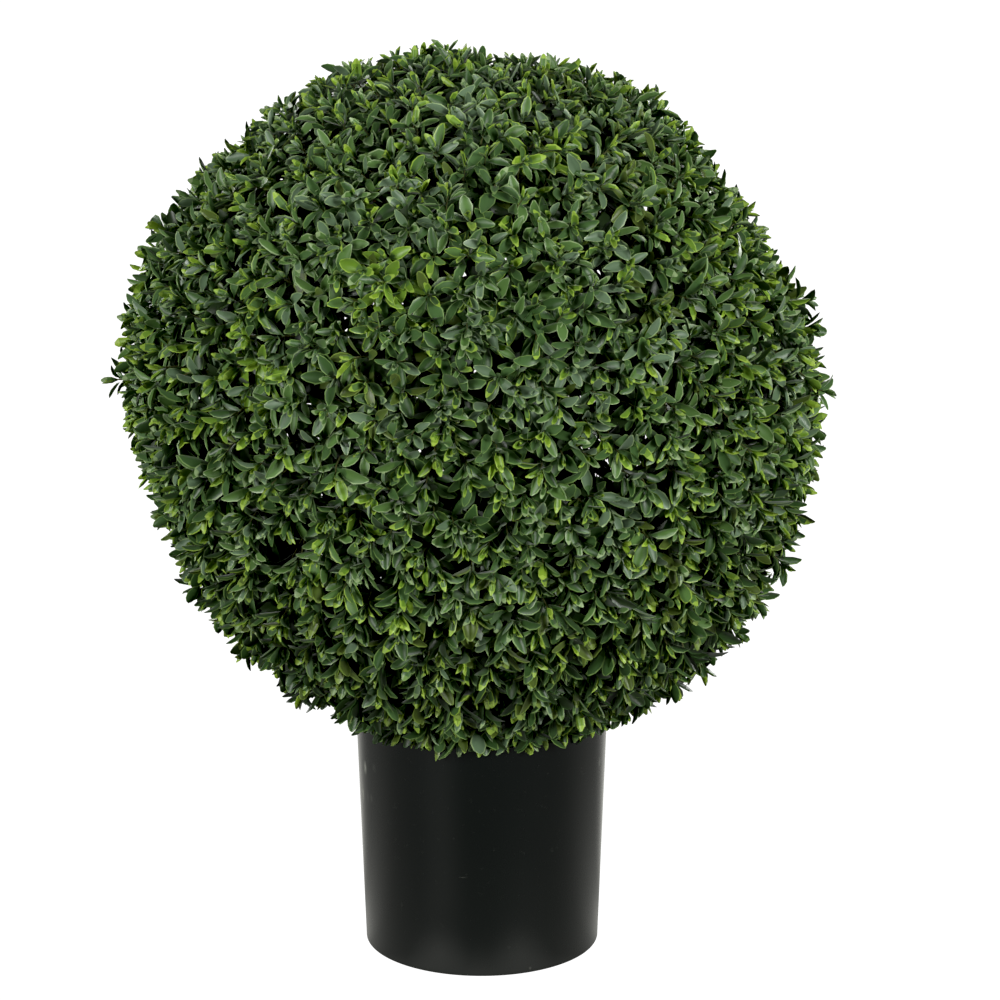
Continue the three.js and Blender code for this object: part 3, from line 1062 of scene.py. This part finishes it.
# Brighter patches of floor in front of the pot: where, how far they reach and how bright they are.
FLOOR_PATCHES = [
    ((-0.066, -0.129, 0), 0.05, 0.52), ((-0.13, -0.23, 0), 0.09, 0.2),
    ((-0.22, -0.35, 0), 0.14, 0.2), ((-0.36, -0.52, 0), 0.20, 0.2),
    ((0.061, -0.131, 0), 0.05, 0.45), ((0.14, -0.22, 0), 0.10, 0.06),
    ((0.0, -0.07, 0), 0.09, 0.68),
]
# How brightly the backdrop and the floor glow where the lens sees them.
WHITE_LEVEL = 1.1
FLOOR_HALF = 9.0
# The camera's place in metres, its tilt down in degrees, and its lens and frame in millimetres.
CAMERA_PLACE = (0.0156, -2.2, 0.854)
CAMERA_TILT = 12.02
LENS_LENGTH = 96.2
FRAME_SIDE = 36.0
# Softboxes: name, place, height that they point at on the axis, width and height, and power.
SOFTBOXES = [
    ("soft_top", (0.1, -0.6, 2.7), 0.5, (1.2, 1.2), 2),
    ("soft_front_right", (1.95, -2.2, 1.25), 0.45, (0.9, 1.1), 83),
    ("soft_front_left", (-2.2, -2.1, 0.95), 0.45, (0.9, 1.1), 75),
    ("soft_back_right", (1.7, 2.4, 1.0), 0.45, (1.2, 1.2), 52),
    ("soft_back_left", (-1.9, 2.3, 1.1), 0.45, (1.2, 1.2), 52),
]
# The picture's darkest level, taken off every colour as a print's black point is.
BLACK_POINT = 0.0033
# How far in pixels the sharpening looks, and how much of the fine contrast it adds.
SHARPEN_REACH = 5
SHARPEN_SHARE = 0.07


def make_floor():
    """A pale floor that the lens sees as white. Its glow is brightest behind the pot."""
    half = FLOOR_HALF
    points = [(-half, -half, 0), (half, -half, 0), (half, half, 0), (-half, half, 0)]
    material, finish = new_finish("pale_floor")
    place = finish.add("ShaderNodeTexCoord", output="Object")
    way = finish.add("ShaderNodeVectorMath", {"operation": "NORMALIZE"}, {0: place})
    back = finish.add("ShaderNodeSeparateXYZ", {}, {0: way}, output="Y")
    distance = finish.add("ShaderNodeVectorMath", {"operation": "LENGTH"}, {0: place}, output="Value")
    glow = finish.ramp(back * 0.5 + 0.5, *FLOOR_GLOW) * finish.ramp(distance, *FLOOR_FADE)
    for point, reach, strength in FLOOR_PATCHES:
        glow = glow + finish.near(point, reach) * strength
    to_lens = finish.add("ShaderNodeLightPath", output="Is Camera Ray")
    paper = finish.add("ShaderNodeBsdfDiffuse", {}, {"Color": (0.05, 0.05, 0.05, 1)})
    to_shine = finish.add("ShaderNodeLightPath", output="Is Glossy Ray")
    glow = glow * (to_shine * (1 - FLOOR_ON_LEAVES) + FLOOR_ON_LEAVES)
    glowing = finish.add("ShaderNodeEmission", {}, {"Color": (1, 1, 0.93, 1), "Strength": glow})
    around = finish.add("ShaderNodeAddShader", {}, {0: paper, 1: glowing})
    white = finish.add("ShaderNodeEmission", {}, {"Color": (1, 1, 1, 1), "Strength": WHITE_LEVEL})
    both = finish.add("ShaderNodeMixShader", {}, {0: to_lens, 1: around, 2: white})
    finish.add("ShaderNodeOutputMaterial", {}, {"Surface": both})
    floor = make_mesh("studio_floor", points, [(0, 1, 2, 3)], [material], smooth=False)


def make_surroundings():
    """White behind the object, dim toward the front, and white wherever the lens sees it."""
    world = bpy.data.worlds.new("studio")
    world.use_nodes = True
    bpy.context.scene.world = world
    finish = Finish(world.node_tree)
    way = finish.add("ShaderNodeTexCoord", output="Generated")
    back = finish.add("ShaderNodeSeparateXYZ", {}, {0: way}, output="Y")
    up = finish.add("ShaderNodeSeparateXYZ", {}, {0: way}, output="Z")
    level = finish.ramp(back * 0.5 + 0.5, *SURROUNDING_LIGHT) * finish.ramp(up, *OVERHEAD_LIGHT)
    to_lens = finish.add("ShaderNodeLightPath", output="Is Camera Ray")
    around = finish.add("ShaderNodeBackground", {}, {"Color": level, "Strength": 1.0})
    white = finish.add("ShaderNodeBackground", {}, {"Color": (1, 1, 1, 1), "Strength": WHITE_LEVEL})
    both = finish.add("ShaderNodeMixShader", {}, {0: to_lens, 1: around, 2: white})
    finish.add("ShaderNodeOutputWorld", {}, {"Surface": both})


def make_softbox(name, place, aim_height, size, power):
    light = bpy.data.lights.new(name, "AREA")
    light.shape = "RECTANGLE"
    light.size, light.size_y = size
    light.energy = power
    holder = bpy.data.objects.new(name, light)
    bpy.context.scene.collection.objects.link(holder)
    holder.location = place
    aim = Vector((0, 0, aim_height)) - Vector(place)
    holder.rotation_euler = aim.to_track_quat("-Z", "Y").to_euler()


def make_camera():
    """The lens looks down a little on the ball from the front, from just right of the pot's axis."""
    lens = bpy.data.cameras.new("lens")
    lens.sensor_width = FRAME_SIDE
    lens.lens = LENS_LENGTH
    camera = bpy.data.objects.new("lens", lens)
    bpy.context.scene.collection.objects.link(camera)
    camera.location = CAMERA_PLACE
    camera.rotation_euler = (math.radians(90 - CAMERA_TILT), 0, 0)
    bpy.context.scene.camera = camera


def set_picture_levels():
    view = bpy.context.scene.view_settings
    view.view_transform = "Standard"
    view.use_curve_mapping = True
    view.curve_mapping.black_level = (BLACK_POINT,) * 3
    view.curve_mapping.update()


def sharpen_picture():
    """Lifts fine contrast a little, in the evenly spaced tones that a screen shows."""
    scene = bpy.context.scene
    scene.use_nodes = True
    picture = Finish(scene.node_tree)
    seen = picture.add("CompositorNodeRLayers")
    even = picture.add("CompositorNodeGamma", {}, {"Image": seen, "Gamma": 1 / 2.2})
    reach = {"filter_type": "GAUSS", "size_x": SHARPEN_REACH, "size_y": SHARPEN_REACH}
    soft = picture.add("CompositorNodeBlur", reach, {"Image": even})
    fine = picture.add("CompositorNodeMixRGB", {"blend_type": "SUBTRACT"}, {0: 1.0, 1: even, 2: soft})
    parts = {0: SHARPEN_SHARE, 1: even, 2: fine}
    crisp = picture.add("CompositorNodeMixRGB", {"blend_type": "ADD"}, parts)
    done = picture.add("CompositorNodeGamma", {}, {"Image": crisp, "Gamma": 2.2})
    picture.add("CompositorNodeComposite", {}, {"Image": done})


make_pot()
make_filling()
make_stem()
make_core()
make_collar()
grow_ball()
make_floor()
make_surroundings()
for softbox in SOFTBOXES:
    make_softbox(*softbox)
make_camera()
set_picture_levels()
sharpen_picture()
